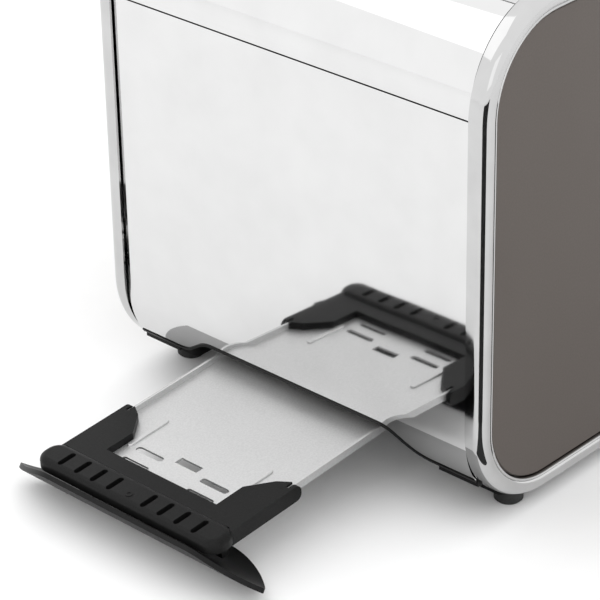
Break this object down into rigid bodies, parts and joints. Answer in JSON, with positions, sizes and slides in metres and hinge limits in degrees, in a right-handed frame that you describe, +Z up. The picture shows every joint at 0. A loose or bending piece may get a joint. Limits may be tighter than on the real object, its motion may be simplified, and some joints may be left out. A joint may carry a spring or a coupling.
{
  "type": "pop-up toaster",
  "caption": "Long-bodied pop-up toaster with mirror-polished ends, framed painted sides and a crumb tray pulled out at one end.",
  "frame": {"origin": "on the ground, at the centre of the toaster's outline with the crumb tray pulled out as at rest; the body's own centre is 35 mm towards +X", "axes": "+Z up, +X along the body from the tray end to the lever end, -Y towards the front side panel"},
  "size_m": [0.396, 0.18, 0.1946],
  "materials": {
    "polished_steel": "mirror polished",
    "brushed_top": "brushed",
    "taupe_paint": "satin",
    "black_plastic": "fine satin",
    "gloss_black": "gloss",
    "tray_steel": "fine matt",
    "foot_rubber": "matt",
    "plated_steel": "galvanised",
    "mica": "flaky",
    "resistance_wire": "dull",
    "board_green": "solder mask",
    "spring_steel": "drawn"
  },
  "bodies": {
    "shell": {"end_wall_tray_side": "polished_steel", "tray_slot_trim": "black_plastic", "end_wall_lever_side": "polished_steel", "top_cover_tray_side": "polished_steel", "top_cover_lever_side": "polished_steel", "top_plate": "brushed_top", "bread_slot_rim_front": "black_plastic", "bread_slot_rim_rear": "black_plastic", "side_frame_front": "polished_steel", "side_frame_rear": "polished_steel", "side_panel_front": "taupe_paint", "side_panel_rear": "taupe_paint", "base": "black_plastic", "feet": "foot_rubber", "base_screws": "plated_steel", "chamber_plate_tray_side": "plated_steel", "chamber_plate_lever_side": "plated_steel", "side_reflector_front": "plated_steel", "side_reflector_rear": "plated_steel", "mica_card_front": "mica", "mica_card_centre": "mica", "mica_card_rear": "mica", "heating_wire_front": "resistance_wire", "heating_wire_centre": "resistance_wire", "heating_wire_rear": "resistance_wire", "guide_rod": "plated_steel", "return_spring_front": "spring_steel", "return_spring_rear": "spring_steel", "latch_magnet": "plated_steel", "control_board": "board_green", "tact_switches": "black_plastic", "potentiometer": "black_plastic", "control_panel": "gloss_black", "cord_gland": "black_plastic", "terminal_block": "black_plastic"},
    "crumb_tray": {"tray_pan": "tray_steel", "tray_handle": "black_plastic", "tray_finger_scoop": "black_plastic"},
    "lever_carriage": {"carriage": "plated_steel", "lever_arm": "plated_steel", "lever_knob": "gloss_black", "bread_rack_front": "plated_steel", "bread_rack_rear": "plated_steel", "armature_plate": "plated_steel"},
    "browning_dial": {"browning_dial": "gloss_black", "dial_shaft": "plated_steel"},
    "cancel_button": {"cancel_button": "gloss_black"},
    "reheat_button": {"reheat_button": "gloss_black"},
    "defrost_button": {"defrost_button": "gloss_black"},
    "bread_guard_front_inner": {"bread_guard_front_inner": "plated_steel"},
    "bread_guard_front_outer": {"bread_guard_front_outer": "plated_steel"},
    "bread_guard_rear_inner": {"bread_guard_rear_inner": "plated_steel"},
    "bread_guard_rear_outer": {"bread_guard_rear_outer": "plated_steel"}
  },
  "joints": [
    {"name": "crumb_tray_slide", "type": "slide", "parent": "shell", "child": "crumb_tray", "axis": [-0.9978, 0, -0.0666], "range_m": [-0.0926, 0.018]},
    {"name": "lever_slide", "type": "slide", "parent": "shell", "child": "lever_carriage", "axis": [0, 0, 1], "range_m": [-0.045, 0], "stiffness_N_per_m": 60, "springref_m": 0.05, "deforming": ["return_spring_front", "return_spring_rear"]},
    {"name": "browning_dial_turn", "type": "hinge", "parent": "shell", "child": "browning_dial", "pos_m": [0.185, 0.045, 0.078], "axis": [1, 0, 0], "range_deg": [-135, 135]},
    {"name": "cancel_button_press", "type": "slide", "parent": "shell", "child": "cancel_button", "axis": [-1, 0, 0], "range_m": [0, 0.002], "stiffness_N_per_m": 300, "springref_m": -0.001},
    {"name": "reheat_button_press", "type": "slide", "parent": "shell", "child": "reheat_button", "axis": [-1, 0, 0], "range_m": [0, 0.002], "stiffness_N_per_m": 300, "springref_m": -0.001},
    {"name": "defrost_button_press", "type": "slide", "parent": "shell", "child": "defrost_button", "axis": [-1, 0, 0], "range_m": [0, 0.002], "stiffness_N_per_m": 300, "springref_m": -0.001},
    {"name": "bread_guard_front_inner_swing", "type": "hinge", "parent": "shell", "child": "bread_guard_front_inner", "pos_m": [0.015, -0.0185, 0.054], "axis": [1, 0, 0], "range_deg": [0, 3.5]},
    {"name": "bread_guard_front_outer_swing", "type": "hinge", "parent": "shell", "child": "bread_guard_front_outer", "pos_m": [0.015, -0.0475, 0.054], "axis": [-1, 0, 0], "range_deg": [0, 3.5]},
    {"name": "bread_guard_rear_inner_swing", "type": "hinge", "parent": "shell", "child": "bread_guard_rear_inner", "pos_m": [0.015, 0.0185, 0.054], "axis": [-1, 0, 0], "range_deg": [0, 3.5]},
    {"name": "bread_guard_rear_outer_swing", "type": "hinge", "parent": "shell", "child": "bread_guard_rear_outer", "pos_m": [0.015, 0.0475, 0.054], "axis": [1, 0, 0], "range_deg": [0, 3.5]}
  ],
  "couplings": [
    {"joint": "bread_guard_front_inner_swing", "follows": "lever_slide", "rad_per_m": -1.3573},
    {"joint": "bread_guard_front_outer_swing", "follows": "lever_slide", "rad_per_m": -1.3573},
    {"joint": "bread_guard_rear_inner_swing", "follows": "lever_slide", "rad_per_m": -1.3573},
    {"joint": "bread_guard_rear_outer_swing", "follows": "lever_slide", "rad_per_m": -1.3573}
  ]
}
